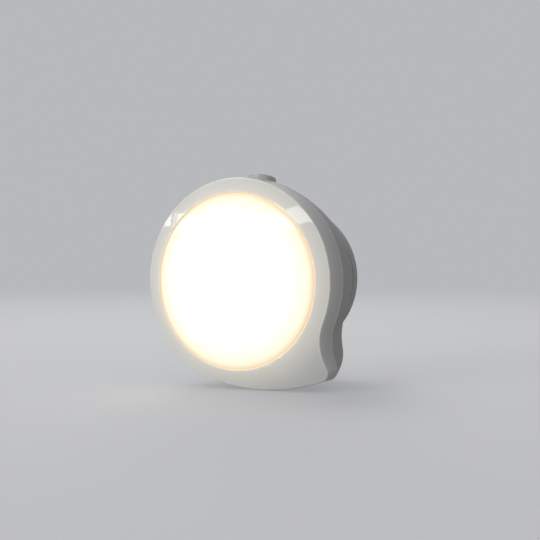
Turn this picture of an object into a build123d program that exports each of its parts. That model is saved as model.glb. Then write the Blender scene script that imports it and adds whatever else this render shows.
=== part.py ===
from build123d import *
import os
from math import atan2, cos, degrees, pi, radians, sin, sqrt

os.makedirs("parts", exist_ok=True)

# Plug-in night light, millimetres. The origin is the centre of the plug base's wall face.
# +Z is up, the light shines towards -Y, and the plug pins point along +Y into the socket.
# A depth is a distance from the wall face towards the viewer, so it lies at Y = -depth.

# Comma outline of the body, seen from the front
main_radius = 27.0            # round part of the outline
sweep_radius = 47.5           # long lower curve that runs into the tail
sweep_angle = -109            # direction in which the sweep leaves the round part
notch_radius = 15.0           # hollow curve above the tail
notch_angle = -21.3           # direction in which the notch leaves the round part
tail_tip_radius = 1.9
inner_tip_radius = 0.6        # least rounding of the tail tip inside the shells

# The same outline where the rear housing meets the plug base: a circle with a short, blunt tail
screw_land = 4.95             # floor between the plug's spigot and the housing wall
rear_end_sweep_rise = 10.85   # sweep over the rear end's own radius
rear_end_notch_radius = 19.0
rear_end_notch_angle = -27.5
rear_end_tip_radius = 4.0

# The outline halfway along the rear housing
middle_bulge = 0.85           # how far the round part swells past the mean of the two ends
middle_sweep_bulge = -2.65    # below zero: the tail has drawn in already
middle_notch_radius = 17.5
middle_notch_angle = -20
middle_tip_radius = 1.8

# Depths of the shells
base_depth = 4.0
rear_depth = 22.2             # plug base to parting line
rim_depth = 7.8               # parting line to the front edge of the round part
dome_radius = 100.0           # sphere of the front face
shell_wall = 1.8
floor_thickness = 2.0
rim_round = 0.3
parting_step = 0.04           # rear housing stands proud of the front shell
parting_round = 0.08          # back edge of the front shell
rear_lip_round = 0.15         # front edge of the rear housing
rear_end_round = 0.4

# Tongue and snap beads between the shells
tongue_height = 1.6
tongue_inset = 1.0            # outer face of the tongue, in from the outline
tongue_clearance = 0.1
snap_radius = 0.3
snap_arc = 16
snap_angles = (25, 120, 200)

# Diffuser and reflector
bezel_width = 3.95            # outline to window, on the round part
window_gap = 0.15
window_round = 0.3
diffuser_thickness = 1.8
diffuser_edge_round = 0.4
diffuser_skirt = 1.5
flange_width = 1.5
flange_thickness = 1.2
flange_play = 0.08
reflector_wall = 1.3
reflector_flare = 1.8
reflector_foot_width = 0.9
reflector_foot_height = 1.2

# Plug base and pins
base_step = 0.1               # base in from the end of the housing
base_round = 0.7
base_seam_round = 0.3
spigot_lip = 0.1              # spigot past the pin bosses
spigot_rise = 1.6             # above the housing floor
spigot_wall = 1.6
spigot_recess = 3.0           # room for solder joints behind the driver board
spigot_clearance = 0.2
pin_radius = 2.0
pin_spacing = 19.0
pin_length = 19.0
pin_tip_round = 1.0
pin_core_radius = 1.4
pin_head_radius = 2.8
pin_head_thickness = 1.6
pin_boss_wall = 0.8
pin_tail_radius = 0.9
pin_tail_rise = 1.0           # above the driver board
sleeve_length = 10.0
sleeve_radius = 1.8
sleeve_root = 2.0             # length that is moulded into the base
fit_clearance = 0.05          # pressed, moulded and soldered fits

# Screws
screw_radius = 1.0
screw_pilot_radius = 1.05
screw_hole_radius = 1.25
screw_head_radius = 1.9
screw_head_height = 1.3
screw_slot_width = 0.5
screw_slot_depth = 0.6
board_screw_length = 6.0
base_screw_length = 4.6
screw_tip_room = 0.4
screw_head_clearance = 0.3
post_radius = 2.1
post_gap = 1.3                # post to driver board
post_angles = (30, 150, 270)

# Boards
board_thickness = 1.2
board_overhang = 0.4          # driver board past the spigot
led_board_margin = 1.0        # LED board to housing wall
led_board_setback = 2.2       # back face of the LED board, behind the parting line
led_length = 3.5
led_width = 2.8
led_height = 0.8
led_dish_depth = 0.2
led_dish_margin = 0.4
led_ring_share = 0.61
led_ring_count = 6
led_core_share = 0.25
led_core_count = 3
lead_radius = 0.3
lead_clearance = 0.1
lead_reach = 0.5              # past the far face of a board

# Parts on the driver board, placed as shares of its radius in X and Z
film_length = 13.0
film_width = 5.0
film_headroom = 4.2           # to the LED board
film_round = 0.6
film_lead_pitch = 10.0
film_place_shares = (0, -0.59)
can_radius = 4.0
can_headroom = 3.7            # to the LED board
can_round = 0.5
can_groove_radius = 0.35
can_groove_rise = 1.6
can_lead_pitch = 3.5
can_place_shares = (0, -0.074)
bridge_length = 4.7
bridge_width = 3.9
bridge_height = 2.4
bridge_lead_pitch = 2.5
bridge_lead_span = 3.6
bridge_place_shares = (-0.235, 0.62)
bridge_bevel = 0.5
resistor_radius = 1.2
resistor_length = 6.2
resistor_lead_pitch = 7.6
resistor_rise = 1.6           # axis above the board
resistor_cap_radius = 1.35
resistor_cap_length = 1.1
resistor_place_shares = (0.265, 0.545)
chip_length = 4.9
chip_width = 3.9
chip_height = 1.5
chip_lead_count = 4
chip_lead_pitch = 1.27
chip_lead_width = 0.4
chip_lead_reach = 0.9
chip_lead_height = 0.5
chip_bevel = 0.35
chip_place_shares = (-0.58, 0.32)
link_pitch = 2.54
link_block_height = 2.5
link_pin_side = 0.64
link_place_shares = (0.61, -0.41)

# Button and switch
button_setback = 6.4          # button axis, behind the parting line
button_radius = 3.9
button_proud = 1.95           # cap above the housing on the button's axis
button_round = 0.45
button_travel = 1.5
button_clearance = 0.3
collar_wall = 1.0
collar_depth = 4.1            # from the housing surface to the collar's inner end
retainer_lip = 0.7            # retainer past the collar's bore
retainer_thickness = 1.0
socket_depth = 4.8
plunger_radius = 1.5
spring_space = 5.2            # switch to retainer, at rest
spring_gap = 1.15             # plunger to wire
spring_wire_radius = 0.25
spring_turns = 5
spring_play = 0.05
switch_margin = 0.35          # switch past the spring
switch_height = 7.0
switch_bevel = 0.4
plunger_reach = 2.5           # length of the plunger inside the switch
switch_lead_pitch_x = 5.0
switch_lead_pitch_z = 4.0
notch_margin = 0.6            # LED board clear of the retainer

# One overrun serves every cut
overrun = 1.0

# Places that follow from the sizes above
floor_depth = base_depth + floor_thickness
parting_depth = base_depth + rear_depth
middle_depth = base_depth + rear_depth / 2
rim_edge_depth = parting_depth + rim_depth
dome_centre_depth = rim_edge_depth - sqrt(dome_radius**2 - main_radius**2)
dome_top_depth = dome_centre_depth + dome_radius
spigot_depth = floor_depth + spigot_rise
driver_face_depth = spigot_depth + board_thickness
led_back_depth = parting_depth - led_board_setback
led_face_depth = led_back_depth + board_thickness
pin_boss_radius = pin_head_radius + pin_boss_wall
spigot_radius = pin_spacing / 2 + pin_boss_radius + spigot_lip
driver_board_radius = spigot_radius + board_overhang
post_place = driver_board_radius + post_radius + post_gap
base_screw_place = spigot_radius + (spigot_clearance + screw_land) / 2
rear_end_radius = spigot_radius + screw_land + shell_wall
rear_end_sweep_radius = rear_end_radius + rear_end_sweep_rise
base_radius = rear_end_radius - base_step
middle_radius = (main_radius + rear_end_radius) / 2 + middle_bulge
middle_sweep_radius = (sweep_radius + rear_end_sweep_radius) / 2 + middle_sweep_bulge

rear_mouth_radius = main_radius + parting_step

# Depth of each section, then its radius, sweep, tail tip, notch and the notch's direction
rear_sections = (
    (
        base_depth, rear_end_radius, rear_end_sweep_radius, rear_end_tip_radius,
        rear_end_notch_radius, rear_end_notch_angle,
    ),
    (
        middle_depth, middle_radius, middle_sweep_radius, middle_tip_radius,
        middle_notch_radius, middle_notch_angle,
    ),
    (
        parting_depth, rear_mouth_radius, sweep_radius + parting_step, tail_tip_radius + parting_step,
        notch_radius - parting_step, notch_angle,
    ),
)


def facing(depth):
    """Sketch plane parallel to the wall: X right, Z up, facing the viewer."""
    return Plane.XZ.offset(depth)


def polar(radius, angle):
    return Vector(radius * cos(radians(angle)), radius * sin(radians(angle)))


def heading(vector):
    return degrees(atan2(vector.Y, vector.X))


def axis_distance(point):
    """Distance of a point from the light's own axis."""
    return sqrt(point.X**2 + point.Z**2)


def comma_line(radius, sweep, tip, notch, notch_start, inset):
    """Closed comma outline in the open BuildLine: round part, sweep, tail tip and notch."""
    point = max(tip - inset, inner_tip_radius)
    sweep_centre = polar(radius - sweep, sweep_angle)
    notch_centre = polar(radius + notch, notch_start)
    from_sweep = sweep - inset - point
    from_notch = notch + inset + point
    between = notch_centre - sweep_centre
    along = (between.length**2 + from_sweep**2 - from_notch**2) / (2 * between.length)
    across = sqrt(from_sweep**2 - along**2)
    ahead = between.normalized()
    tip_centre = sweep_centre + ahead * along + Vector(ahead.Y, -ahead.X) * across
    sweep_end = heading(tip_centre - sweep_centre)
    tip_end = heading(notch_centre - tip_centre)
    CenterArc((0, 0), radius - inset, notch_start, 360 + sweep_angle - notch_start)
    CenterArc(sweep_centre, sweep - inset, sweep_angle, sweep_end - sweep_angle)
    CenterArc(tip_centre, point, sweep_end, tip_end - sweep_end)
    CenterArc(notch_centre, notch + inset, tip_end + 180, notch_start - tip_end)


def front_outline(depth, inset):
    """Sketch of the front outline, drawn in by inset."""
    with BuildSketch(facing(depth)) as outline:
        with BuildLine():
            comma_line(main_radius, sweep_radius, tail_tip_radius, notch_radius, notch_angle, inset)
        make_face()
    return outline.sketch


def rear_outlines(inset):
    """The three sections of the rear housing, drawn in by inset."""
    sections = []
    for depth, *section in rear_sections:
        with BuildSketch(facing(depth)) as outline:
            with BuildLine():
                comma_line(*section, inset)
            make_face()
        sections.append(outline.sketch.face())
    return sections


def housing_radius(depth):
    """Radius of the round part of the rear housing at a depth."""
    share = (depth - base_depth) / rear_depth
    ends = rear_end_radius * (1 - share) * (1 - 2 * share) + rear_mouth_radius * share * (2 * share - 1)
    return ends + middle_radius * 4 * share * (1 - share)


def dome_depth(radius, drop=0):
    """Depth of the front face's sphere, or of one that lies drop inside it."""
    return dome_centre_depth + sqrt((dome_radius - drop) ** 2 - radius**2)


def placed(shares):
    return (shares[0] * driver_board_radius, shares[1] * driver_board_radius)


button_depth = parting_depth - button_setback
button_surface = housing_radius(button_depth)
button_rise = housing_radius(button_depth + button_radius) - housing_radius(button_depth - button_radius)
button_slope = degrees(atan2(button_rise, 2 * button_radius))
collar_end = button_surface - collar_depth
bore_radius = button_radius + button_clearance
collar_radius = bore_radius + collar_wall
retainer_radius = bore_radius + retainer_lip
spring_radius = plunger_radius + spring_gap + spring_wire_radius
switch_width = 2 * (spring_radius + spring_wire_radius + switch_margin)
retainer_top = collar_end - button_clearance
retainer_bottom = retainer_top - retainer_thickness
switch_top = retainer_bottom - spring_space
switch_middle = switch_top - switch_height / 2
switch_depth = 2 * (led_back_depth - button_depth)
plunger_bottom = switch_top - plunger_reach
socket_top = retainer_bottom + socket_depth
button_axis = Plane(origin=(0, -button_depth, 0), x_dir=(1, 0, 0), z_dir=(0, 0, 1))

post_places = [polar(post_place, angle) for angle in post_angles]
base_screw_places = [(-base_screw_place, 0), (base_screw_place, 0)]
pin_places = [(-pin_spacing / 2, 0), (pin_spacing / 2, 0)]
pin_sides = {"left": -pin_spacing / 2, "right": pin_spacing / 2}
link_x, link_z = placed(link_place_shares)
link_places = [(link_x, link_z - link_pitch / 2), (link_x, link_z + link_pitch / 2)]
switch_lead_places = [
    (x * switch_lead_pitch_x / 2, switch_middle + z * switch_lead_pitch_z / 2)
    for x in (-1, 1)
    for z in (-1, 1)
]

led_board_radius = housing_radius(led_back_depth) - shell_wall - led_board_margin
film_height = led_back_depth - driver_face_depth - film_headroom
can_height = led_back_depth - driver_face_depth - can_headroom
window_radius = main_radius - bezel_width
flange_radius = window_radius + flange_width
flange_top_depth = dome_depth(flange_radius, shell_wall) - flange_play
flange_depth = flange_top_depth - flange_thickness
lens_radius = window_radius - window_gap
skirt_radius = lens_radius - diffuser_skirt

# Front shell: comma wall and domed bezel, open at the back
with BuildPart() as front_cavity:
    extrude(front_outline(parting_depth, shell_wall), amount=dome_top_depth - parting_depth + overrun)
    with Locations((0, -dome_centre_depth, 0)):
        Sphere(dome_radius - shell_wall, mode=Mode.INTERSECT)
    rebate_inset = tongue_inset - tongue_clearance
    extrude(front_outline(parting_depth, rebate_inset), amount=tongue_height + tongue_clearance)
    for angle in snap_angles:
        with BuildSketch(Plane.XY.rotated((0, -angle, 0))):
            with Locations((main_radius - tongue_inset, -parting_depth - tongue_height / 2)):
                Circle(snap_radius + tongue_clearance)
        revolve(axis=Axis.Y, revolution_arc=snap_arc)

with BuildPart() as front_shell:
    extrude(front_outline(parting_depth, 0), amount=dome_top_depth - parting_depth + overrun)
    with Locations((0, -dome_centre_depth, 0)):
        Sphere(dome_radius, mode=Mode.INTERSECT)
    fillet(front_shell.faces().sort_by(Axis.Y)[0].edges(), rim_round)
    fillet(front_shell.faces().sort_by(Axis.Y)[-1].edges(), parting_round)
    add(front_cavity.part, mode=Mode.SUBTRACT)
    with BuildSketch(facing(parting_depth)):
        Circle(window_radius)
    extrude(amount=dome_top_depth - parting_depth + overrun, mode=Mode.SUBTRACT)
    mouth = front_shell.edges().filter_by(
        lambda edge: edge.is_closed and abs(axis_distance(edge @ 0) - window_radius) < fit_clearance
    )
    fillet(mouth.sort_by(Axis.Y)[0], window_round)
front_shell.part.label = "front_shell"
export_step(front_shell.part, "parts/front_shell.step")

# Rear housing: lofted from the comma to a near circle, with floor, posts and button collar
with BuildPart() as rear_cavity:
    loft(rear_outlines(shell_wall))
    with BuildSketch(facing(base_depth)):
        Circle(main_radius + sweep_radius)
    extrude(amount=floor_thickness, mode=Mode.SUBTRACT)
    with BuildSketch(facing(base_depth)):
        with Locations(*post_places):
            Circle(post_radius)
    extrude(amount=led_back_depth - base_depth, mode=Mode.SUBTRACT)
    with BuildSketch(button_axis.offset(collar_end)):
        Circle(collar_radius)
    extrude(amount=main_radius, mode=Mode.SUBTRACT)

with BuildPart() as rear_housing:
    loft(rear_outlines(0))
    fillet(rear_housing.faces().sort_by(Axis.Y)[0].edges(), rear_lip_round)
    fillet(rear_housing.faces().sort_by(Axis.Y)[-1].edges(), rear_end_round)
    add(rear_cavity.part, mode=Mode.SUBTRACT)
    with BuildSketch(facing(base_depth - overrun)):
        Circle(spigot_radius + spigot_clearance)
        with Locations(*base_screw_places):
            Circle(screw_hole_radius)
    extrude(amount=floor_thickness + 2 * overrun, mode=Mode.SUBTRACT)
    with BuildSketch(facing(led_back_depth)):
        with Locations(*post_places):
            Circle(screw_pilot_radius)
    extrude(amount=-board_screw_length, mode=Mode.SUBTRACT)
    with BuildSketch(button_axis.offset(collar_end - overrun)):
        Circle(bore_radius)
    extrude(amount=main_radius, mode=Mode.SUBTRACT)
    extrude(front_outline(parting_depth, tongue_inset), amount=tongue_height)
    extrude(front_outline(parting_depth, shell_wall), amount=tongue_height, mode=Mode.SUBTRACT)
    for angle in snap_angles:
        with BuildSketch(Plane.XY.rotated((0, -angle, 0))):
            with Locations((main_radius - tongue_inset, -parting_depth - tongue_height / 2)):
                Circle(snap_radius)
        revolve(axis=Axis.Y, revolution_arc=snap_arc)
rear_housing.part.label = "rear_housing"
export_step(rear_housing.part, "parts/rear_housing.step")

# Diffuser: opal cap that carries on the bezel's dome, with a skirt and a flange behind the bezel
with BuildPart() as diffuser:
    with BuildSketch(Plane.XY):
        with BuildLine():
            ThreePointArc(
                (0, -dome_depth(0)),
                (lens_radius / 2, -dome_depth(lens_radius / 2)),
                (lens_radius, -dome_depth(lens_radius)),
            )
            Polyline(
                (lens_radius, -dome_depth(lens_radius)),
                (lens_radius, -flange_top_depth),
                (flange_radius, -flange_top_depth),
                (flange_radius, -flange_depth),
                (skirt_radius, -flange_depth),
                (skirt_radius, -dome_depth(skirt_radius, diffuser_thickness)),
            )
            ThreePointArc(
                (skirt_radius, -dome_depth(skirt_radius, diffuser_thickness)),
                (skirt_radius / 2, -dome_depth(skirt_radius / 2, diffuser_thickness)),
                (0, -dome_depth(0, diffuser_thickness)),
            )
            Line((0, -dome_depth(0, diffuser_thickness)), (0, -dome_depth(0)))
        make_face()
    revolve(axis=Axis.Y)
    fillet(diffuser.faces().sort_by(Axis.Y)[0].edges(), diffuser_edge_round)
diffuser.part.label = "diffuser"
export_step(diffuser.part, "parts/diffuser.step")

# Reflector: flared ring with a foot, clamped between the LED board and the diffuser, clear of screw heads
reflector_foot_radius = skirt_radius - reflector_flare
reflector_height = flange_depth - led_face_depth
foot_flare = reflector_flare * reflector_foot_height / reflector_height
with BuildPart() as reflector:
    with BuildSketch(Plane.XY):
        with BuildLine():
            Polyline(
                (reflector_foot_radius, -led_face_depth),
                (reflector_foot_radius + reflector_wall + reflector_foot_width, -led_face_depth),
                (
                    reflector_foot_radius + reflector_wall + reflector_foot_width,
                    -led_face_depth - reflector_foot_height,
                ),
                (
                    reflector_foot_radius + reflector_wall + foot_flare,
                    -led_face_depth - reflector_foot_height,
                ),
                (skirt_radius + reflector_wall, -flange_depth),
                (skirt_radius, -flange_depth),
                close=True,
            )
        make_face()
    revolve(axis=Axis.Y)
    with BuildSketch(facing(led_face_depth)):
        with Locations(*post_places):
            Circle(screw_head_radius + screw_head_clearance)
    extrude(amount=screw_head_height + screw_head_clearance, mode=Mode.SUBTRACT)
reflector.part.label = "reflector"
export_step(reflector.part, "parts/reflector.step")

# LED board: round, with a flat notch that clears the pressed button
board_notch_bottom = retainer_bottom - button_travel - notch_margin
link_hole_radius = link_pin_side / sqrt(2) + lead_clearance
with BuildPart() as led_board:
    with BuildSketch(facing(led_back_depth)):
        Circle(led_board_radius)
        with Locations((0, board_notch_bottom + led_board_radius / 2)):
            Rectangle(2 * (retainer_radius + notch_margin), led_board_radius, mode=Mode.SUBTRACT)
        with Locations(*post_places):
            Circle(screw_hole_radius, mode=Mode.SUBTRACT)
        with Locations(*switch_lead_places):
            Circle(lead_radius + lead_clearance, mode=Mode.SUBTRACT)
        with Locations(*link_places):
            Circle(link_hole_radius, mode=Mode.SUBTRACT)
    extrude(amount=board_thickness)
led_board.part.label = "led_board"
export_step(led_board.part, "parts/led_board.step")

# LEDs: flat packages with a shallow lens dish
led_rings = (
    (led_ring_share * led_board_radius, 0, led_ring_count),
    (led_core_share * led_board_radius, 90, led_core_count),
)
with BuildPart() as led_chips:
    with BuildSketch(facing(led_face_depth)):
        for ring_radius, start, count in led_rings:
            with PolarLocations(ring_radius, count, start_angle=start):
                Rectangle(led_length, led_width)
    extrude(amount=led_height)
    with BuildSketch(facing(led_face_depth + led_height)):
        for ring_radius, start, count in led_rings:
            with PolarLocations(ring_radius, count, start_angle=start):
                Circle(led_width / 2 - led_dish_margin)
    extrude(amount=-led_dish_depth, mode=Mode.SUBTRACT)
led_chips.part.label = "led_chips"
export_step(led_chips.part, "parts/led_chips.step")

# Screws: pan heads with a slot; the LED board's go into the posts, the others into the plug base
screw_groups = {
    "board_screws": (led_face_depth, post_places, board_screw_length),
    "plug_base_screws": (floor_depth, base_screw_places, base_screw_length),
}
for screw_name, (seat_depth, places, length) in screw_groups.items():
    with BuildPart() as screws:
        with BuildSketch(facing(seat_depth - length)):
            with Locations(*places):
                Circle(screw_radius)
        extrude(amount=length)
        with BuildSketch(facing(seat_depth)):
            with Locations(*places):
                Circle(screw_head_radius)
        extrude(amount=screw_head_height)
        with BuildSketch(facing(seat_depth + screw_head_height)):
            with Locations(*places):
                Rectangle(2 * screw_head_radius, screw_slot_width)
        extrude(amount=-screw_slot_depth, mode=Mode.SUBTRACT)
    screws.part.label = screw_name
    export_step(screws.part, f"parts/{screw_name}.step")

# Plug base: disc against the wall, with a hollow spigot and pin bosses inside the housing
pin_seat_depth = spigot_depth - pin_head_thickness
with BuildPart() as plug_base:
    with BuildSketch(facing(0)):
        Circle(base_radius)
    extrude(amount=base_depth)
    fillet(plug_base.faces().sort_by(Axis.Y)[-1].edges(), base_round)
    fillet(plug_base.faces().sort_by(Axis.Y)[0].edges(), base_seam_round)
    with BuildSketch(facing(base_depth)):
        Circle(spigot_radius)
    extrude(amount=spigot_depth - base_depth)
    with BuildSketch(facing(spigot_depth - spigot_recess)):
        Circle(spigot_radius - spigot_wall)
        with Locations(*pin_places):
            Circle(pin_boss_radius, mode=Mode.SUBTRACT)
    extrude(amount=spigot_recess, mode=Mode.SUBTRACT)
    with BuildSketch(facing(0)):
        with Locations(*pin_places):
            Circle(sleeve_radius + fit_clearance)
    extrude(amount=sleeve_root, mode=Mode.SUBTRACT)
    with BuildSketch(facing(sleeve_root)):
        with Locations(*pin_places):
            Circle(pin_core_radius + fit_clearance)
    extrude(amount=pin_seat_depth - sleeve_root, mode=Mode.SUBTRACT)
    with BuildSketch(facing(pin_seat_depth)):
        with Locations(*pin_places):
            Circle(pin_head_radius + fit_clearance)
    extrude(amount=pin_head_thickness, mode=Mode.SUBTRACT)
    with BuildSketch(facing(base_depth)):
        with Locations(*base_screw_places):
            Circle(screw_pilot_radius)
    extrude(amount=floor_thickness - base_screw_length - screw_tip_room, mode=Mode.SUBTRACT)
plug_base.part.label = "plug_base"
export_step(plug_base.part, "parts/plug_base.step")

# Plug pins and their insulating sleeves
for side, pin_x in pin_sides.items():
    with BuildPart() as plug_pin:
        with BuildSketch(Plane.XY):
            with BuildLine():
                Polyline(
                    (pin_x, -driver_face_depth - pin_tail_rise),
                    (pin_x + pin_tail_radius, -driver_face_depth - pin_tail_rise),
                    (pin_x + pin_tail_radius, -spigot_depth),
                    (pin_x + pin_head_radius, -spigot_depth),
                    (pin_x + pin_head_radius, -pin_seat_depth),
                    (pin_x + pin_core_radius, -pin_seat_depth),
                    (pin_x + pin_core_radius, sleeve_length),
                    (pin_x + pin_radius, sleeve_length),
                    (pin_x + pin_radius, pin_length),
                    (pin_x, pin_length),
                    close=True,
                )
            make_face()
        revolve(axis=Axis((pin_x, 0, 0), (0, 1, 0)))
        fillet(plug_pin.faces().sort_by(Axis.Y)[-1].edges(), pin_tip_round)
    plug_pin.part.label = f"plug_pin_{side}"
    export_step(plug_pin.part, f"parts/plug_pin_{side}.step")

    with BuildPart() as pin_sleeve:
        with BuildSketch(facing(-sleeve_length)):
            with Locations((pin_x, 0)):
                Circle(sleeve_radius)
                Circle(pin_core_radius + fit_clearance, mode=Mode.SUBTRACT)
        extrude(amount=sleeve_length + sleeve_root)
    pin_sleeve.part.label = f"pin_sleeve_{side}"
    export_step(pin_sleeve.part, f"parts/pin_sleeve_{side}.step")

# Driver board: rests on the spigot's rim and the pin heads
film_x, film_z = placed(film_place_shares)
can_x, can_z = placed(can_place_shares)
bridge_x, bridge_z = placed(bridge_place_shares)
resistor_x, resistor_z = placed(resistor_place_shares)
chip_x, chip_z = placed(chip_place_shares)
film_leads = [(film_x + side * film_lead_pitch / 2, film_z) for side in (-1, 1)]
can_leads = [(can_x + side * can_lead_pitch / 2, can_z) for side in (-1, 1)]
resistor_leads = [(resistor_x + side * resistor_lead_pitch / 2, resistor_z) for side in (-1, 1)]
bridge_leads = [
    (bridge_x + side * bridge_lead_span / 2, bridge_z + end * bridge_lead_pitch / 2)
    for side in (-1, 1)
    for end in (-1, 1)
]
with BuildPart() as driver_board:
    with BuildSketch(facing(spigot_depth)):
        Circle(driver_board_radius)
        with Locations(*pin_places):
            Circle(pin_tail_radius + fit_clearance, mode=Mode.SUBTRACT)
        with Locations(*film_leads, *can_leads, *resistor_leads, *bridge_leads):
            Circle(lead_radius + lead_clearance, mode=Mode.SUBTRACT)
        with Locations(*link_places):
            Circle(link_hole_radius, mode=Mode.SUBTRACT)
    extrude(amount=board_thickness)
driver_board.part.label = "driver_board"
export_step(driver_board.part, "parts/driver_board.step")

lead_length = board_thickness + lead_reach

# Film capacitor: upright box on two leads
with BuildPart() as film_capacitor:
    with BuildSketch(facing(driver_face_depth)):
        with Locations((film_x, film_z)):
            RectangleRounded(film_length, film_width, film_round)
    extrude(amount=film_height)
    fillet(film_capacitor.faces().sort_by(Axis.Y)[0].edges(), film_round)
    with BuildSketch(facing(driver_face_depth)):
        with Locations(*film_leads):
            Circle(lead_radius)
    extrude(amount=-lead_length)
film_capacitor.part.label = "film_capacitor"
export_step(film_capacitor.part, "parts/film_capacitor.step")

# Smoothing capacitor: upright can with a rolled groove near its foot
with BuildPart() as smoothing_capacitor:
    with BuildSketch(facing(driver_face_depth)):
        with Locations((can_x, can_z)):
            Circle(can_radius)
    extrude(amount=can_height)
    fillet(smoothing_capacitor.faces().sort_by(Axis.Y)[0].edges(), can_round)
    with BuildSketch(Plane.XY.offset(can_z)):
        with Locations((can_x + can_radius, -driver_face_depth - can_groove_rise)):
            Circle(can_groove_radius)
    revolve(axis=Axis((can_x, 0, can_z), (0, 1, 0)), mode=Mode.SUBTRACT)
    with BuildSketch(facing(driver_face_depth)):
        with Locations(*can_leads):
            Circle(lead_radius)
    extrude(amount=-lead_length)
smoothing_capacitor.part.label = "smoothing_capacitor"
export_step(smoothing_capacitor.part, "parts/smoothing_capacitor.step")

# Bridge rectifier: small moulded block on four leads
with BuildPart() as bridge_rectifier:
    with BuildSketch(facing(driver_face_depth)):
        with Locations((bridge_x, bridge_z)):
            Rectangle(bridge_length, bridge_width)
    extrude(amount=bridge_height)
    chamfer(bridge_rectifier.faces().sort_by(Axis.Y)[0].edges(), bridge_bevel)
    with BuildSketch(facing(driver_face_depth)):
        with Locations(*bridge_leads):
            Circle(lead_radius)
    extrude(amount=-lead_length)
bridge_rectifier.part.label = "bridge_rectifier"
export_step(bridge_rectifier.part, "parts/bridge_rectifier.step")

# Fusible resistor: body with end caps, lying above the board on two bent leads
resistor_depth = driver_face_depth + resistor_rise
with BuildPart() as fusible_resistor:
    with BuildSketch(Plane.YZ.offset(resistor_x - resistor_length / 2)):
        with Locations((-resistor_depth, resistor_z)):
            Circle(resistor_radius)
    extrude(amount=resistor_length)
    with BuildSketch(Plane.YZ.offset(resistor_x - resistor_length / 2)):
        with Locations((-resistor_depth, resistor_z)):
            Circle(resistor_cap_radius)
    extrude(amount=resistor_cap_length)
    with BuildSketch(Plane.YZ.offset(resistor_x + resistor_length / 2)):
        with Locations((-resistor_depth, resistor_z)):
            Circle(resistor_cap_radius)
    extrude(amount=-resistor_cap_length)
    with BuildSketch(Plane.YZ.offset(resistor_x - resistor_lead_pitch / 2 - lead_radius)):
        with Locations((-resistor_depth, resistor_z)):
            Circle(lead_radius)
    extrude(amount=resistor_lead_pitch + 2 * lead_radius)
    with BuildSketch(facing(resistor_depth)):
        with Locations(*resistor_leads):
            Circle(lead_radius)
    extrude(amount=-resistor_rise - lead_length)
fusible_resistor.part.label = "fusible_resistor"
export_step(fusible_resistor.part, "parts/fusible_resistor.step")

# Driver chip: moulded body with a row of short feet on each long side
chip_foot_pitch = chip_width + chip_lead_reach
with BuildPart() as driver_chip:
    with BuildSketch(facing(driver_face_depth)):
        with Locations((chip_x, chip_z)):
            Rectangle(chip_length, chip_width)
    extrude(amount=chip_height)
    chamfer(driver_chip.faces().sort_by(Axis.Y)[0].edges(), chip_bevel)
    with BuildSketch(facing(driver_face_depth)):
        with Locations((chip_x, chip_z)):
            with GridLocations(chip_lead_pitch, chip_foot_pitch, chip_lead_count, 2):
                Rectangle(chip_lead_width, chip_lead_reach)
    extrude(amount=chip_lead_height)
driver_chip.part.label = "driver_chip"
export_step(driver_chip.part, "parts/driver_chip.step")

# Link between the boards: spacer block and two long square pins
with BuildPart() as link_header:
    with BuildSketch(facing(driver_face_depth)):
        with Locations((link_x, link_z)):
            Rectangle(link_pitch, len(link_places) * link_pitch)
        with Locations(*link_places):
            Rectangle(
                link_pin_side + 2 * fit_clearance, link_pin_side + 2 * fit_clearance, mode=Mode.SUBTRACT
            )
    extrude(amount=link_block_height)
link_header.part.label = "link_header"
export_step(link_header.part, "parts/link_header.step")

with BuildPart() as link_pins:
    with BuildSketch(facing(spigot_depth - lead_reach)):
        with Locations(*link_places):
            Rectangle(link_pin_side, link_pin_side)
    extrude(amount=led_face_depth - spigot_depth + 2 * lead_reach)
link_pins.part.label = "link_pins"
export_step(link_pins.part, "parts/link_pins.step")

# Switch: block on the back of the LED board, with a well for its plunger
with BuildPart() as switch_body:
    with BuildSketch(button_axis.offset(switch_top)):
        Rectangle(switch_width, switch_depth)
    extrude(amount=-switch_height)
    chamfer(switch_body.edges().filter_by(Axis.Z), switch_bevel)
    with BuildSketch(button_axis.offset(switch_top)):
        Circle(plunger_radius + button_clearance)
    extrude(amount=-plunger_reach - button_travel - button_clearance, mode=Mode.SUBTRACT)
switch_body.part.label = "switch_body"
export_step(switch_body.part, "parts/switch_body.step")

with BuildPart() as switch_terminals:
    with BuildSketch(facing(led_back_depth)):
        with Locations(*switch_lead_places):
            Circle(lead_radius)
    extrude(amount=lead_length)
switch_terminals.part.label = "switch_terminals"
export_step(switch_terminals.part, "parts/switch_terminals.step")

with BuildPart() as switch_plunger:
    with BuildSketch(button_axis.offset(plunger_bottom)):
        Circle(plunger_radius)
    extrude(amount=socket_top - plunger_bottom - fit_clearance)
switch_plunger.part.label = "switch_plunger"
export_step(switch_plunger.part, "parts/switch_plunger.step")

# Button cap: its top slants with the housing, and a retainer under the collar keeps it in
button_top = button_surface + button_proud
button_face = Plane(
    origin=(0, -button_depth, button_top),
    x_dir=(1, 0, 0),
    z_dir=(0, sin(radians(button_slope)), cos(radians(button_slope))),
)
with BuildPart() as button_cap:
    with BuildSketch(button_axis.offset(retainer_top)):
        Circle(button_radius)
    extrude(amount=button_top - retainer_top + button_radius)
    split(bisect_by=button_face, keep=Keep.BOTTOM)
    fillet(button_cap.faces().sort_by(Axis.Z)[-1].edges(), button_round)
    with BuildSketch(button_axis.offset(retainer_bottom)):
        Circle(retainer_radius)
    extrude(amount=retainer_thickness)
    with BuildSketch(button_axis.offset(retainer_bottom)):
        Circle(plunger_radius + fit_clearance)
    extrude(amount=socket_depth, mode=Mode.SUBTRACT)
button_cap.part.label = "button_cap"
export_step(button_cap.part, "parts/button_cap.step")

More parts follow.
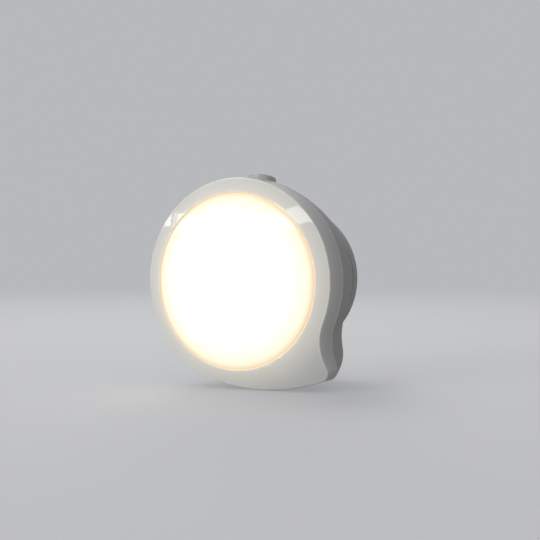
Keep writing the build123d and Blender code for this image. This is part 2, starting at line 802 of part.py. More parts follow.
# Return spring: a coil of quarter turns, each of two tangent arcs, round the plunger
quarter_turns = 4 * spring_turns
spring_bottom = switch_top + spring_wire_radius + spring_play
spring_rise = spring_space - 2 * (spring_wire_radius + spring_play)
climb = spring_rise / (2 * pi * spring_turns)


def coil_point(quarter):
    turn = quarter * pi / 2
    across = Vector(spring_radius * cos(turn), spring_radius * sin(turn) - button_depth, 0)
    return across + Vector(0, 0, spring_bottom + climb * turn)


def coil_heading(quarter):
    turn = quarter * pi / 2
    return Vector(-spring_radius * sin(turn), spring_radius * cos(turn), climb).normalized()


with BuildPart() as return_spring:
    with BuildLine():
        for quarter in range(quarter_turns):
            start = coil_point(quarter)
            end = coil_point(quarter + 1)
            leaving = coil_heading(quarter)
            arriving = coil_heading(quarter + 1)
            chord = end - start
            spread = 2 * (1 - leaving.dot(arriving))
            pull = chord.dot(leaving + arriving)
            reach = (sqrt(pull**2 + spread * chord.dot(chord)) - pull) / spread
            joint = (start + end + (leaving - arriving) * reach) / 2
            half = TangentArc(start, joint, tangent=leaving)
            TangentArc(joint, end, tangent=half % 1)
    with BuildSketch(Plane(origin=coil_point(0), z_dir=coil_heading(0))):
        Circle(spring_wire_radius)
    sweep()
return_spring.part.label = "return_spring"
export_step(return_spring.part, "parts/return_spring.step")

samples = 6                   # points on each quarter turn
wire_points = [coil_point(step / samples) for step in range(samples * quarter_turns + 1)]
least_gap = min(
    (far - near).length - 2 * spring_wire_radius
    for index, near in enumerate(wire_points)
    for far in wire_points[index + 2 * samples:]
)
print("least gap between the spring's turns", round(least_gap, 3))
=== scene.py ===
import cmath
import math

import bmesh
import bpy
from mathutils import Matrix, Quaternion, Vector


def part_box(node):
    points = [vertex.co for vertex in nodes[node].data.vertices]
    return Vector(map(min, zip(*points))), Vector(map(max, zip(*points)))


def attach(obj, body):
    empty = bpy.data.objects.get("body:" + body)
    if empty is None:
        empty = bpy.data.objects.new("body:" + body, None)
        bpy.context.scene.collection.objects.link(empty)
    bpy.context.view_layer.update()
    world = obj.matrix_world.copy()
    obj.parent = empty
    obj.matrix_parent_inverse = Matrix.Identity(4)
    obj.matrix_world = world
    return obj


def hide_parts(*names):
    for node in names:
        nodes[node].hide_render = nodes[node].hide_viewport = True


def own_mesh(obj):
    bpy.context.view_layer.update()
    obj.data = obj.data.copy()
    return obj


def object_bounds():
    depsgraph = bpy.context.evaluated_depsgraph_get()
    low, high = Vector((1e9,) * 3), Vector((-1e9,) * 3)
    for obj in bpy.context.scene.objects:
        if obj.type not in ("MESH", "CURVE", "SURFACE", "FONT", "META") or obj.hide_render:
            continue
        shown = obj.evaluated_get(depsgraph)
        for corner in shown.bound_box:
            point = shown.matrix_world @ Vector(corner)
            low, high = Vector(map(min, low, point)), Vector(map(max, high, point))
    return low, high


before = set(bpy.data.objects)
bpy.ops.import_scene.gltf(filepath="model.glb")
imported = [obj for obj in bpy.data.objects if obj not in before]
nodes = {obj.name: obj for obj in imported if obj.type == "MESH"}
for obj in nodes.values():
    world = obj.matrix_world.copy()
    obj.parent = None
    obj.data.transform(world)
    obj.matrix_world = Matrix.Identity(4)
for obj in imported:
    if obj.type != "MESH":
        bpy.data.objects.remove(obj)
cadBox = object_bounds()                       # the CAD model's own box
mm = 0.001                                 # the sizes below are in millimetres
scene = bpy.context.scene
print("frame loaded with", len(nodes), "nodes")


def spanOf(node):                          # lowest and highest corner of a node, in mm
    low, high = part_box(node)
    return low / mm, high / mm


def paint(red, green, blue):               # display colour, 0 to 255, as a linear colour
    def toLinear(level):
        share = level / 255.0
        if share <= 0.04045:
            return share / 12.92
        return ((share + 0.055) / 1.055) ** 2.4
    return (toLinear(red), toLinear(green), toLinear(blue), 1.0)


# Camera, at the angle the light is seen from
view = {
    "place": (149.26, -298.23, 11.67),     # mm
    "azimuth": 27.80,                      # degrees round to the right of the front
    "pitch": 1.65,                         # degrees looking down
    "lens": 77.465,                        # mm
    "sensor": 36.0,                        # mm
    "clip": (0.01, 60.0),                  # metres, nearest and farthest that is drawn
}


def setCamera():
    data = bpy.data.cameras.new("studioCamera")
    data.lens = view["lens"]
    data.sensor_width = view["sensor"]
    data.clip_start, data.clip_end = view["clip"]
    camera = bpy.data.objects.new("studioCamera", data)
    scene.collection.objects.link(camera)
    turn = math.radians(view["azimuth"])
    dip = math.radians(view["pitch"])
    ahead = Vector((-math.sin(turn) * math.cos(dip), math.cos(turn) * math.cos(dip), -math.sin(dip)))
    camera.location = Vector(view["place"]) * mm
    camera.rotation_euler = ahead.to_track_quat("-Z", "Y").to_euler()
    scene.camera = camera


setCamera()
print("camera set")


# Mesh helpers
meshing = {
    "sharpAngle": 40.0,                    # degrees, sharper edges stay crisp
    "samePoint": 1e-7,                     # metres, closer points become one
    "carvedPoint": 1e-6,                   # the same after a boolean
}


def mergePoints(mesh, apart):              # points closer than apart, in metres, become one
    shape = bmesh.new()
    shape.from_mesh(mesh)
    bmesh.ops.remove_doubles(shape, verts=shape.verts, dist=apart)
    bmesh.ops.dissolve_degenerate(shape, edges=shape.edges, dist=apart)
    bmesh.ops.recalc_face_normals(shape, faces=shape.faces)
    shape.to_mesh(mesh)
    shape.free()


def smoothFaces(mesh):
    mesh.shade_smooth()
    mesh.set_sharp_from_angle(angle=math.radians(meshing["sharpAngle"]))


def addPiece(name, mesh):
    mergePoints(mesh, meshing["samePoint"])
    smoothFaces(mesh)
    piece = bpy.data.objects.new(name, mesh)
    scene.collection.objects.link(piece)
    return piece


def skinRings(name, rings, loopBack=False, edgeRows=()):
    # rings of equal count, joined row by row; edgeRows get 1 in the "edge" attribute
    count = len(rings[0])
    points = [Vector(point) * mm for ring in rings for point in ring]
    faces = []
    rows = len(rings) if loopBack else len(rings) - 1
    for row in range(rows):
        here = row * count
        there = (row + 1) % len(rings) * count
        for step in range(count):
            ahead = (step + 1) % count
            faces.append((here + step, here + ahead, there + ahead, there + step))
    mesh = bpy.data.meshes.new(name)
    mesh.from_pydata(points, [], faces)
    marks = mesh.attributes.new("edge", "FLOAT", "POINT")
    for row in edgeRows:
        for step in range(count):
            marks.data[row * count + step].value = 1.0
    return addPiece(name, mesh)


def turnProfile(name, profile, steps, edgeRows=()):
    # profile of (radius, depth) turned round the light's own axis
    rings = []
    for radius, depth in profile:
        ring = []
        for step in range(steps):
            angle = 2 * math.pi * step / steps
            ring.append((radius * math.cos(angle), -depth, radius * math.sin(angle)))
        rings.append(ring)
    return skinRings(name, rings, False, edgeRows)


def roundCorner(centre, radius, start, stop, steps):
    # arc of (radius, depth) points, angles in degrees from the radius towards the depth
    arc = []
    for step in range(steps + 1):
        angle = math.radians(start + (stop - start) * step / steps)
        arc.append((centre[0] + radius * math.cos(angle), centre[1] + radius * math.sin(angle)))
    return arc


def carve(piece, cutter, operation):       # boolean on a piece, with the cutter thrown away
    cut = piece.modifiers.new("carve", "BOOLEAN")
    cut.operation = operation
    cut.solver = "EXACT"
    cut.object = cutter
    bpy.context.view_layer.update()
    shaped = piece.evaluated_get(bpy.context.evaluated_depsgraph_get())
    old = piece.data
    piece.data = bpy.data.meshes.new_from_object(shaped)
    piece.data.name = piece.name
    piece.modifiers.clear()
    bpy.data.meshes.remove(old)
    spare = cutter.data
    bpy.data.objects.remove(cutter)
    bpy.data.meshes.remove(spare)


def between(start, stop, steps):           # evenly spaced values, both ends included
    return [start + (stop - start) * step / steps for step in range(steps + 1)]


# Comma outline, shared by the front shell and the rear housing
shellLow, shellHigh = spanOf("front_shell")
rearHigh = spanOf("rear_housing")[1]
baseHigh = spanOf("plug_base")[1]
lensLow, lensHigh = spanOf("diffuser")

comma = {
    "mainRadius": -shellLow.x,
    "sweepRadius": 51.0,                   # big arc that runs into the tail
    "sweepAngle": -107.5,
    "notchRadius": 15.5,                   # hollow above the tail
    "notchAngle": -21.9,
    "tipRadius": 2.6,
    "leastTip": 0.6,
    "arcSteps": (176, 64, 14, 40),         # main arc, sweep, tip, notch
}
shell = {
    "wall": 1.8,
    "partingDepth": -shellHigh.y,
    "partingRound": 0.08,
    "rimRound": 0.3,
    "domeRadius": 100.0,
    "domeTop": -lensLow.y,
    "windowRadius": 23.05,
    "windowRound": 0.3,
}
domeCentre = shell["domeTop"] - shell["domeRadius"]


def commaRing(radius, sweep, tip, notch, notchStart, inset=0.0):
    # closed outline as (point, outward direction), both as complex x + iz
    sweepAngle = math.radians(comma["sweepAngle"])
    notchAngle = math.radians(notchStart)
    point = max(tip - inset, comma["leastTip"])
    sweepCentre = cmath.rect(radius - sweep, sweepAngle)
    notchCentre = cmath.rect(radius + notch, notchAngle)
    fromSweep = sweep - inset - point
    fromNotch = notch + inset + point
    gap = notchCentre - sweepCentre
    along = (abs(gap) ** 2 + fromSweep ** 2 - fromNotch ** 2) / (2 * abs(gap))
    across = math.sqrt(fromSweep ** 2 - along ** 2)
    tipCentre = sweepCentre + gap / abs(gap) * complex(along, -across)
    sweepEnd = cmath.phase(tipCentre - sweepCentre)
    tipEnd = cmath.phase(notchCentre - tipCentre)
    arcs = (
        (0j, radius - inset, notchAngle, 2 * math.pi + sweepAngle, 1),
        (sweepCentre, sweep - inset, sweepAngle, sweepEnd, 1),
        (tipCentre, point, sweepEnd, tipEnd, 1),
        (notchCentre, notch + inset, tipEnd + math.pi, notchAngle + math.pi, -1),
    )
    ring = []
    for (centre, size, start, stop, side), steps in zip(arcs, comma["arcSteps"]):
        for step in range(steps):
            way = cmath.rect(1.0, start + (stop - start) * step / steps)
            ring.append((centre + way * size, way * side))
    return ring


def frontRing(inset=0.0):
    return commaRing(comma["mainRadius"], comma["sweepRadius"], comma["tipRadius"],
                     comma["notchRadius"], comma["notchAngle"], inset)


def atDepth(points, depth):                # outline points at one depth behind the face
    return [(point.real, -depth, point.imag) for point in points]


def domeDepth(reach, drop=0.0):            # depth of the domed face at a distance from the axis
    return domeCentre + math.sqrt((shell["domeRadius"] - drop) ** 2 - reach ** 2)


def turnBetween(start, stop, share):       # unit vector part of the way from one to another
    angle = start.angle(stop)
    mixed = start * math.sin((1 - share) * angle) + stop * math.sin(share * angle)
    return mixed / math.sin(angle)


# Front shell: side wall, rounded rim, domed bezel, window edge and the inside
shellRows = {"lip": 3, "wall": 6, "rim": 7, "dome": 12, "window": 5, "inner": 3}


def buildFrontShell():
    rings = []
    edgeRows = []
    lip = shell["partingRound"]
    for angle in between(0.0, math.pi / 2, shellRows["lip"]):
        outline = [point for point, way in frontRing(lip * (1 - math.sin(angle)))]
        edgeRows.append(len(rings))
        rings.append(atDepth(outline, shell["partingDepth"] + lip * (1 - math.cos(angle))))

    rimRound = shell["rimRound"]
    outer = frontRing()
    centres = []                           # middle of the rim's round, with its two ends
    for point, way in frontRing(rimRound):
        depth = domeDepth(abs(point), rimRound)
        middle = Vector((point.real, -depth, point.imag))
        side = Vector((way.real, 0.0, way.imag))
        up = (middle - Vector((0.0, -domeCentre, 0.0))).normalized()
        centres.append((middle, side, up))
    wallStart = shell["partingDepth"] + lip
    for share in between(0.0, 1.0, shellRows["wall"])[1:-1]:
        ring = []
        for (point, way), (middle, side, up) in zip(outer, centres):
            ring.append((point.real, -wallStart + (middle.y + wallStart) * share, point.imag))
        rings.append(ring)
    for share in between(0.0, 1.0, shellRows["rim"]):
        edgeRows.append(len(rings))
        rings.append([middle + turnBetween(side, up, share) * rimRound for middle, side, up in centres])

    windowRound = shell["windowRound"]
    windowMiddle = shell["windowRadius"] + windowRound
    windowDepth = domeDepth(windowMiddle, windowRound)
    starts = [complex(point[0], point[2]) for point in rings[-1]]
    ways = [point / abs(point) for point in starts]
    lifted = windowMiddle / (shell["domeRadius"] - windowRound)
    ends = [way * (windowMiddle + windowRound * lifted) for way in ways]
    for share in between(0.0, 1.0, shellRows["dome"])[1:-1]:
        ring = []
        for start, end in zip(starts, ends):
            point = start + (end - start) * share
            ring.append((point.real, -domeDepth(abs(point)), point.imag))
        rings.append(ring)
    for share in between(0.0, 1.0, shellRows["window"]):
        ring = []
        for way in ways:
            middle = Vector((way.real * windowMiddle, -windowDepth, way.imag * windowMiddle))
            up = (middle - Vector((0.0, -domeCentre, 0.0))).normalized()
            inward = Vector((-way.real, 0.0, -way.imag))
            ring.append(middle + turnBetween(up, inward, share) * windowRound)
        edgeRows.append(len(rings))
        rings.append(ring)

    wall = shell["wall"]
    inner = [point for point, way in frontRing(wall)]
    mouth = [way * shell["windowRadius"] for way in ways]
    for share in between(0.0, 1.0, shellRows["inner"]):
        ring = []
        for start, end in zip(mouth, inner):
            point = start + (end - start) * share
            ring.append((point.real, -domeDepth(abs(point), wall), point.imag))
        rings.append(ring)
    rings.append(atDepth(inner, shell["partingDepth"]))
    return skinRings("front_shell_skin", rings, True, edgeRows)


frontShell = buildFrontShell()
print("front shell", len(frontShell.data.polygons), "faces")


# Rear housing: lofted from the comma to a near circle, with the button's bore
rear = {
    "partingStep": 0.04,                   # the housing stands proud of the front shell
    "baseStep": 0.1,                       # and of the plug base
    "endDepth": -rearHigh.y,
    "endSweep": 30.8,
    "endTip": 4.0,
    "endNotch": (19.0, -27.5),             # radius and direction, in degrees
    "middleBulge": 0.85,                   # the side swells past a straight taper
    "middleSweep": 37.5,
    "middleTip": 1.1,
    "middleNotch": (16.0, -21.75),
    "lipRound": 0.15,                      # front edge, at the parting line
    "endRound": 0.4,
    "floorDepth": 6.0,
    "mouthRadius": 13.4,
    "lipRows": 5,
    "sideRows": 30,
    "endRows": 6,
    "insideRows": 8,
}
endRadius = baseHigh.x + rear["baseStep"]
middleDepth = (rear["endDepth"] + shell["partingDepth"]) / 2
middleRadius = (endRadius + comma["mainRadius"]) / 2 + rear["middleBulge"]
proud = rear["partingStep"]
rearDepths = (rear["endDepth"], middleDepth, shell["partingDepth"])
rearSections = (                           # radius, sweep, tip, notch and its direction
    (endRadius, rear["endSweep"], rear["endTip"], *rear["endNotch"]),
    (middleRadius, rear["middleSweep"], rear["middleTip"], *rear["middleNotch"]),
    (comma["mainRadius"] + proud, comma["sweepRadius"] + proud, comma["tipRadius"] + proud,
     comma["notchRadius"] - proud, comma["notchAngle"]),
)


def sectionWeights(depth):                 # share of each section at a depth, along a smooth curve
    weights = []
    for here in range(3):
        weight = 1.0
        for other in range(3):
            if other != here:
                weight *= (depth - rearDepths[other]) / (rearDepths[here] - rearDepths[other])
        weights.append(weight)
    return weights


def rearRing(depth, inset=0.0):
    outlines = [commaRing(*section, inset) for section in rearSections]
    weights = sectionWeights(depth)
    ring = []
    for steps in zip(*outlines):
        ring.append(sum(weight * point for weight, (point, way) in zip(weights, steps)))
    return ring


def rearRadius(depth):                     # radius of the round part of the housing
    return sum(weight * section[0] for weight, section in zip(sectionWeights(depth), rearSections))


def buildRearHousing():
    rings = []
    edgeRows = []
    wall = shell["wall"]
    parting = shell["partingDepth"]
    lip = rear["lipRound"]
    rings.append(atDepth(rearRing(parting, wall), parting))
    for angle in between(0.0, math.pi / 2, rear["lipRows"]):
        depth = parting - lip * (1 - math.cos(angle))
        edgeRows.append(len(rings))
        rings.append(atDepth(rearRing(depth, lip * (1 - math.sin(angle))), depth))
    heel = rear["endRound"]
    for depth in between(parting - lip, rear["endDepth"] + heel, rear["sideRows"])[1:-1]:
        rings.append(atDepth(rearRing(depth), depth))
    for angle in between(0.0, math.pi / 2, rear["endRows"]):
        depth = rear["endDepth"] + heel * (1 - math.sin(angle))
        rings.append(atDepth(rearRing(depth, heel * (1 - math.cos(angle))), depth))
    ways = [complex(point[0], point[2]) for point in rings[-1]]
    mouth = [way / abs(way) * rear["mouthRadius"] for way in ways]
    rings.append(atDepth(mouth, rear["endDepth"]))
    rings.append(atDepth(mouth, rear["floorDepth"]))
    for depth in between(rear["floorDepth"], parting, rear["insideRows"])[:-1]:
        rings.append(atDepth(rearRing(depth, wall), depth))
    return skinRings("rear_housing_skin", rings, True, edgeRows)


# Push button on the top, and the bore that it slides in
buttonLow = spanOf("button_cap")[0]
plungerHigh = spanOf("switch_plunger")[1]
button = {
    "radius": 3.9,
    "depth": 19.8,                         # of its axis behind the face
    "topHeight": 27.627,                   # middle of its slanting top
    "slope": 14.36,                        # degrees, down towards the plug
    "round": 0.25,
    "flangeRadius": 4.9,
    "flangeHeight": 1.0,
    "boreRadius": 4.2,
    "boreRound": 0.3,
    "boreBelow": 1.0,                      # the cut runs on under the collar
    "collarRadius": 5.2,
    "collarFoot": 21.577,
    "socketPlay": 0.05,                    # round the plunger that is pressed into the cap
    "steps": 96,
    "topRows": 5,
    "roundRows": 6,
    "boreRows": 5,
}


def buttonRing(radius, heightAt):          # ring round the button's axis, heightAt(x, y) in mm
    ring = []
    for step in range(button["steps"]):
        angle = 2 * math.pi * step / button["steps"]
        x = radius * math.cos(angle)
        y = radius * math.sin(angle) - button["depth"]
        ring.append((x, y, heightAt(x, y)))
    return ring


def housingTop(x, y):                      # height of the housing's skin above the axis
    return math.sqrt(rearRadius(-y) ** 2 - x ** 2)


def buildCollar():
    foot = button["collarFoot"]
    buried = shell["wall"] / 2
    rings = [
        buttonRing(0.0, lambda x, y: foot),
        buttonRing(button["collarRadius"], lambda x, y: foot),
        buttonRing(button["collarRadius"], lambda x, y: housingTop(x, y) - buried),
        buttonRing(0.0, lambda x, y: housingTop(x, y) - buried),
    ]
    return skinRings("collar", rings)


def buildBoreCutter():
    foot = button["collarFoot"] - button["boreBelow"]
    bore = button["boreRadius"]
    flare = button["boreRound"]
    rings = [buttonRing(0.0, lambda x, y: foot), buttonRing(bore, lambda x, y: foot)]
    for angle in between(0.0, math.pi / 2, button["boreRows"]):
        reach = bore + flare * (1 - math.cos(angle))
        sink = flare * (1 - math.sin(angle))
        rings.append(buttonRing(reach, lambda x, y: housingTop(x, y) - sink))
    wide = bore + flare * 2
    rings.append(buttonRing(wide, lambda x, y: housingTop(x, y) + flare))
    rings.append(buttonRing(0.0, lambda x, y: housingTop(x, y) + flare))
    return skinRings("boreCutter", rings)


def buildButton():
    slant = math.tan(math.radians(button["slope"]))
    soft = button["round"]
    size = button["radius"]

    def top(x, y):
        return button["topHeight"] - (y + button["depth"]) * slant

    rings = [buttonRing(0.0, top)]
    for reach in between(0.0, size - soft, button["topRows"])[1:]:
        rings.append(buttonRing(reach, top))
    edgeRows = []
    for angle in between(0.0, math.pi / 2, button["roundRows"])[1:]:
        sink = soft * (1 - math.cos(angle))
        edgeRows.append(len(rings))
        rings.append(buttonRing(size - soft + soft * math.sin(angle), lambda x, y: top(x, y) - sink))
    flangeTop = buttonLow.z + button["flangeHeight"]
    rings.append(buttonRing(size, lambda x, y: flangeTop))
    rings.append(buttonRing(button["flangeRadius"], lambda x, y: flangeTop))
    rings.append(buttonRing(button["flangeRadius"], lambda x, y: buttonLow.z))
    socket = plungerHigh.x + button["socketPlay"]
    socketTop = plungerHigh.z + button["socketPlay"]
    rings.append(buttonRing(socket, lambda x, y: buttonLow.z))
    rings.append(buttonRing(socket, lambda x, y: socketTop))
    rings.append(buttonRing(0.0, lambda x, y: socketTop))
    return skinRings("button_cap_skin", rings, False, edgeRows)


# Return spring round the plunger
springLow, springHigh = spanOf("return_spring")
spring = {
    "wireRadius": 0.25,
    "turns": 5,
    "turnSteps": 32,
    "wireSteps": 12,
    "travel": 1.5,                         # of the button, which shortens the spring as much
    "play": 0.05,
}


def buildSpring():
    wire = spring["wireRadius"]
    foot = Vector((0.0, -button["depth"], springLow.z + wire))
    rise = Vector((0.0, 0.0, springHigh.z - springLow.z - 2 * wire))
    rings = []
    for share in between(0.0, 1.0, spring["turns"] * spring["turnSteps"]):
        turn = 2 * math.pi * spring["turns"] * share
        out = Vector((math.cos(turn), math.sin(turn), 0.0))
        middle = foot + rise * share + out * (springHigh.x - wire)
        ring = []
        for angle in between(0.0, 2 * math.pi, spring["wireSteps"])[:-1]:
            ring.append(middle + (out * math.cos(angle) + Vector((0.0, 0.0, math.sin(angle)))) * wire)
        rings.append(ring)
    for end, ring in ((0, rings[0]), (len(rings) + 1, rings[-1])):
        middle = sum(ring, Vector()) / len(ring)
        rings.insert(end, [middle] * len(ring))
    return skinRings("return_spring_coil", rings)


rearHousing = buildRearHousing()
carve(rearHousing, buildCollar(), "UNION")
carve(rearHousing, buildBoreCutter(), "DIFFERENCE")
mergePoints(rearHousing.data, meshing["carvedPoint"])
smoothFaces(rearHousing.data)
buttonCap = buildButton()
returnSpring = buildSpring()
print("rear housing", len(rearHousing.data.polygons), "faces, button", len(buttonCap.data.polygons))


# Opal diffuser in the window
lens = {
    "radius": 22.9,
    "edgeRound": 0.4,
    "thickness": 1.6,
    "flangeRadius": lensHigh.x,
    "flangeHeight": 1.0,
    "flangeGap": 0.1,                      # to the inside of the front shell
    "skirtRadius": 21.4,
    "skirtDepth": -lensHigh.y,
    "steps": 256,
    "faceRows": 26,
    "edgeRows": 6,
    "insideRows": 8,
}


def buildDiffuser():
    soft = lens["edgeRound"]
    edge = lens["radius"] - soft
    lean = math.asin(edge / (shell["domeRadius"] - soft))
    faceEdge = edge + soft * math.sin(lean)
    profile = [(reach, domeDepth(reach)) for reach in between(0.0, faceEdge, lens["faceRows"])]
    rise = 90.0 - math.degrees(lean)
    corner = roundCorner((edge, domeDepth(edge, soft)), soft, rise, 0.0, lens["edgeRows"])
    edgeRows = range(len(profile), len(profile) + len(corner) - 1)
    profile += corner[1:]
    seat = domeDepth(lens["flangeRadius"], shell["wall"]) - lens["flangeGap"]
    foot = seat - lens["flangeHeight"]
    profile.append((lens["radius"], seat))
    profile.append((lens["flangeRadius"], seat))
    profile.append((lens["flangeRadius"], foot))
    profile.append((lens["radius"], foot))
    profile.append((lens["radius"], lens["skirtDepth"]))
    profile.append((lens["skirtRadius"], lens["skirtDepth"]))
    for reach in between(lens["skirtRadius"], 0.0, lens["insideRows"]):
        profile.append((reach, domeDepth(reach, lens["thickness"])))
    return turnProfile("diffuser_lens", profile, lens["steps"], edgeRows)


diffuser = buildDiffuser()
print("diffuser", len(diffuser.data.polygons), "faces")

for piece, body, node, slot in (
    (frontShell, "housing", "front_shell", "bezel_white"),
    (rearHousing, "housing", "rear_housing", "housing_white"),
    (buttonCap, "button", "button_cap", "button_white"),
    (returnSpring, "housing", "return_spring", "spring_steel"),
    (diffuser, "housing", "diffuser", "diffuser_opal"),
):
    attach(piece, body)
    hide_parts(node)
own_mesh(returnSpring)
print("pieces ride on their bodies")


# Node helpers for the finishes
def addNode(tree, kind, place, **settings):
    node = tree.nodes.new(kind)
    node.location = place
    for name, value in settings.items():
        setattr(node, name, value)
    return node


def feed(tree, value, socket):             # a socket is linked, any other value is set
    if isinstance(value, bpy.types.NodeSocket):
        tree.links.new(value, socket)
    else:
        socket.default_value = value


def setInputs(node, **values):             # socket names with their spaces left out
    for socket in node.inputs:
        key = socket.name.replace(" ", "")
        if key in values and socket.enabled:
            socket.default_value = values[key]
    return node


def mathStep(tree, place, operation, *values, clamp=False):
    step = addNode(tree, "ShaderNodeMath", place, operation=operation, use_clamp=clamp)
    for value, socket in zip(values, step.inputs):
        feed(tree, value, socket)
    return step.outputs["Value"]


def vectorLength(tree, place, vector):
    length = addNode(tree, "ShaderNodeVectorMath", place, operation="LENGTH")
    tree.links.new(vector, length.inputs[0])
    return length.outputs["Value"]


def mixColors(tree, place, share, under, over, blend="MIX"):
    mix = addNode(tree, "ShaderNodeMix", place, data_type="RGBA", blend_type=blend)
    for value, slot in ((share, 0), (under, 6), (over, 7)):   # colour sockets of the Mix node
        feed(tree, value, mix.inputs[slot])
    return mix.outputs[2]


def mixShaders(tree, share, under, over, outKind):
    mix = addNode(tree, "ShaderNodeMixShader", (250, 100))
    out = addNode(tree, outKind, (500, 100))
    for given, socket in zip((share, under, over), mix.inputs):
        tree.links.new(given, socket)
    tree.links.new(mix.outputs["Shader"], out.inputs["Surface"])


def noiseTexture(tree, place, spot, scale, detail, roughness=0.5):
    noise = addNode(tree, "ShaderNodeTexNoise", place)
    for value, name in ((scale, "Scale"), (detail, "Detail"), (roughness, "Roughness"), (spot, "Vector")):
        feed(tree, value, noise.inputs[name])
    return noise.outputs["Fac"]


def mapRange(tree, place, value, low, high, toLow, toHigh, **settings):
    ranged = addNode(tree, "ShaderNodeMapRange", place, **settings)
    names = ("Value", "From Min", "From Max", "To Min", "To Max")
    for level, name in zip((value, low, high, toLow, toHigh), names):
        feed(tree, level, ranged.inputs[name])
    return ranged.outputs["Result"]


def axisCoordinates(tree, place):          # distance from the light's own axis, place along it, normal
    spot = addNode(tree, "ShaderNodeTexCoord", place)
    apart = addNode(tree, "ShaderNodeSeparateXYZ", (place[0] + 200, place[1]))
    flat = addNode(tree, "ShaderNodeCombineXYZ", (place[0] + 400, place[1]))
    tree.links.new(spot.outputs["Object"], apart.inputs["Vector"])
    tree.links.new(apart.outputs["X"], flat.inputs["X"])
    tree.links.new(apart.outputs["Z"], flat.inputs["Z"])
    reach = vectorLength(tree, (place[0] + 600, place[1]), flat.outputs["Vector"])
    return {"reach": reach, "along": apart.outputs["Y"], "normal": spot.outputs["Normal"]}


def colorSteps(tree, place, share, steps):
    ramp = addNode(tree, "ShaderNodeValToRGB", place)
    stops = ramp.color_ramp.elements
    while len(stops) < len(steps):
        stops.new(0.5)
    for stop, (position, color) in zip(stops, steps):
        stop.position = position
        stop.color = paint(*color)
    tree.links.new(share, ramp.inputs["Fac"])
    return ramp.outputs["Color"]


def newGroup(name, inputs, outputs):
    tree = bpy.data.node_groups.new(name, "ShaderNodeTree")
    kinds = {"color": "NodeSocketColor", "value": "NodeSocketFloat"}
    for label, kind, value in inputs:
        socket = tree.interface.new_socket(label, in_out="INPUT", socket_type=kinds[kind])
        socket.default_value = value
    for label, kind in outputs:
        tree.interface.new_socket(label, in_out="OUTPUT", socket_type=kinds[kind])
    start = addNode(tree, "NodeGroupInput", (-900, 0))
    end = addNode(tree, "NodeGroupOutput", (700, 0))
    return tree, start.outputs, end.inputs


# Shared effects
skinNoise = {
    "sheenScale": 170.0,
    "levels": (0.3, 0.7),                  # noise that counts as none and as full
}
markNoise = {
    "turn": (0.4, 0.9, 0.6),               # radians, the way the hairlines run
    "stretch": (1.0, 14.0, 1.0),
    "hairLevels": (0.66, 0.74),
    "speckLevels": (0.52, 0.72),
    "upward": (0.35, 1.0),                 # how far up a face looks, from no dust to all of it
}
rubAndHighlightNoise = {"levels": (0.35, 0.65), "least": 0.35}


def makeMouldedSkin():                     # tint that drifts, gloss that drifts, faint surface
    tree, given, made = newGroup("mouldedSkin", (
        ("Pale Tint", "color", (0.7, 0.7, 0.66, 1.0)),
        ("Deep Tint", "color", (0.6, 0.6, 0.56, 1.0)),
        ("Drift Scale", "value", 40.0),
        ("Grain Scale", "value", 900.0),
        ("Bright Gloss", "value", 0.1),
        ("Dull Gloss", "value", 0.2),
    ), (("Color", "color"), ("Roughness", "value"), ("Height", "value")))
    spot = addNode(tree, "ShaderNodeTexCoord", (-900, -300)).outputs["Object"]
    drift = noiseTexture(tree, (-600, 200), spot, given["Drift Scale"], 3.0)
    sheen = noiseTexture(tree, (-600, -50), spot, skinNoise["sheenScale"], 4.0, 0.6)
    grain = noiseTexture(tree, (-600, -300), spot, given["Grain Scale"], 2.0)
    share = mapRange(tree, (-350, 200), drift, *skinNoise["levels"], 0.0, 1.0)
    tint = mixColors(tree, (-100, 200), share, given["Pale Tint"], given["Deep Tint"])
    gloss = mapRange(tree, (-350, -50), sheen, *skinNoise["levels"],
                     given["Bright Gloss"], given["Dull Gloss"])
    tree.links.new(tint, made["Color"])
    tree.links.new(gloss, made["Roughness"])
    tree.links.new(grain, made["Height"])
    return tree


def makeHandlingMarks():                   # hairline scratches and settled dust, as masks
    tree, given, made = newGroup("handlingMarks", (
        ("Scratch Scale", "value", 260.0),
        ("Dust Scale", "value", 2200.0),
    ), (("Scratches", "value"), ("Dust", "value")))
    spot = addNode(tree, "ShaderNodeTexCoord", (-900, -300))
    stretch = addNode(tree, "ShaderNodeMapping", (-650, 100))
    setInputs(stretch, Rotation=markNoise["turn"], Scale=markNoise["stretch"])
    tree.links.new(spot.outputs["Object"], stretch.inputs["Vector"])
    hairs = noiseTexture(tree, (-420, 100), stretch.outputs["Vector"], given["Scratch Scale"], 3.0)
    scratches = mapRange(tree, (-150, 100), hairs, *markNoise["hairLevels"], 0.0, 1.0)
    specks = noiseTexture(tree, (-420, -150), spot.outputs["Object"], given["Dust Scale"], 2.0)
    fine = mapRange(tree, (-150, -150), specks, *markNoise["speckLevels"], 0.0, 1.0)
    facing = addNode(tree, "ShaderNodeSeparateXYZ", (-420, -380))
    tree.links.new(spot.outputs["Normal"], facing.inputs["Vector"])
    upward = mapRange(tree, (-150, -380), facing.outputs["Z"], *markNoise["upward"], 0.0, 1.0)
    dust = mathStep(tree, (150, -200), "MULTIPLY", fine, upward)
    tree.links.new(scratches, made["Scratches"])
    tree.links.new(dust, made["Dust"])
    return tree


def makeEdgeWearAndHighlight():                         # rounded edges lightened by handling wear and by a painted highlight
    tree, given, made = newGroup("edgeWearAndHighlight", (("Breakup Scale", "value", 420.0),), (("Rub", "value"),))
    spot = addNode(tree, "ShaderNodeTexCoord", (-900, -300)).outputs["Object"]
    marked = addNode(tree, "ShaderNodeAttribute", (-500, 150), attribute_name="edge")
    broken = noiseTexture(tree, (-600, -100), spot, given["Breakup Scale"], 3.0)
    patchy = mapRange(tree, (-300, -100), broken, *rubAndHighlightNoise["levels"], rubAndHighlightNoise["least"], 1.0)
    rubAndHighlight = mathStep(tree, (0, 50), "MULTIPLY", marked.outputs["Fac"], patchy)
    tree.links.new(rubAndHighlight, made["Rub"])
    return tree


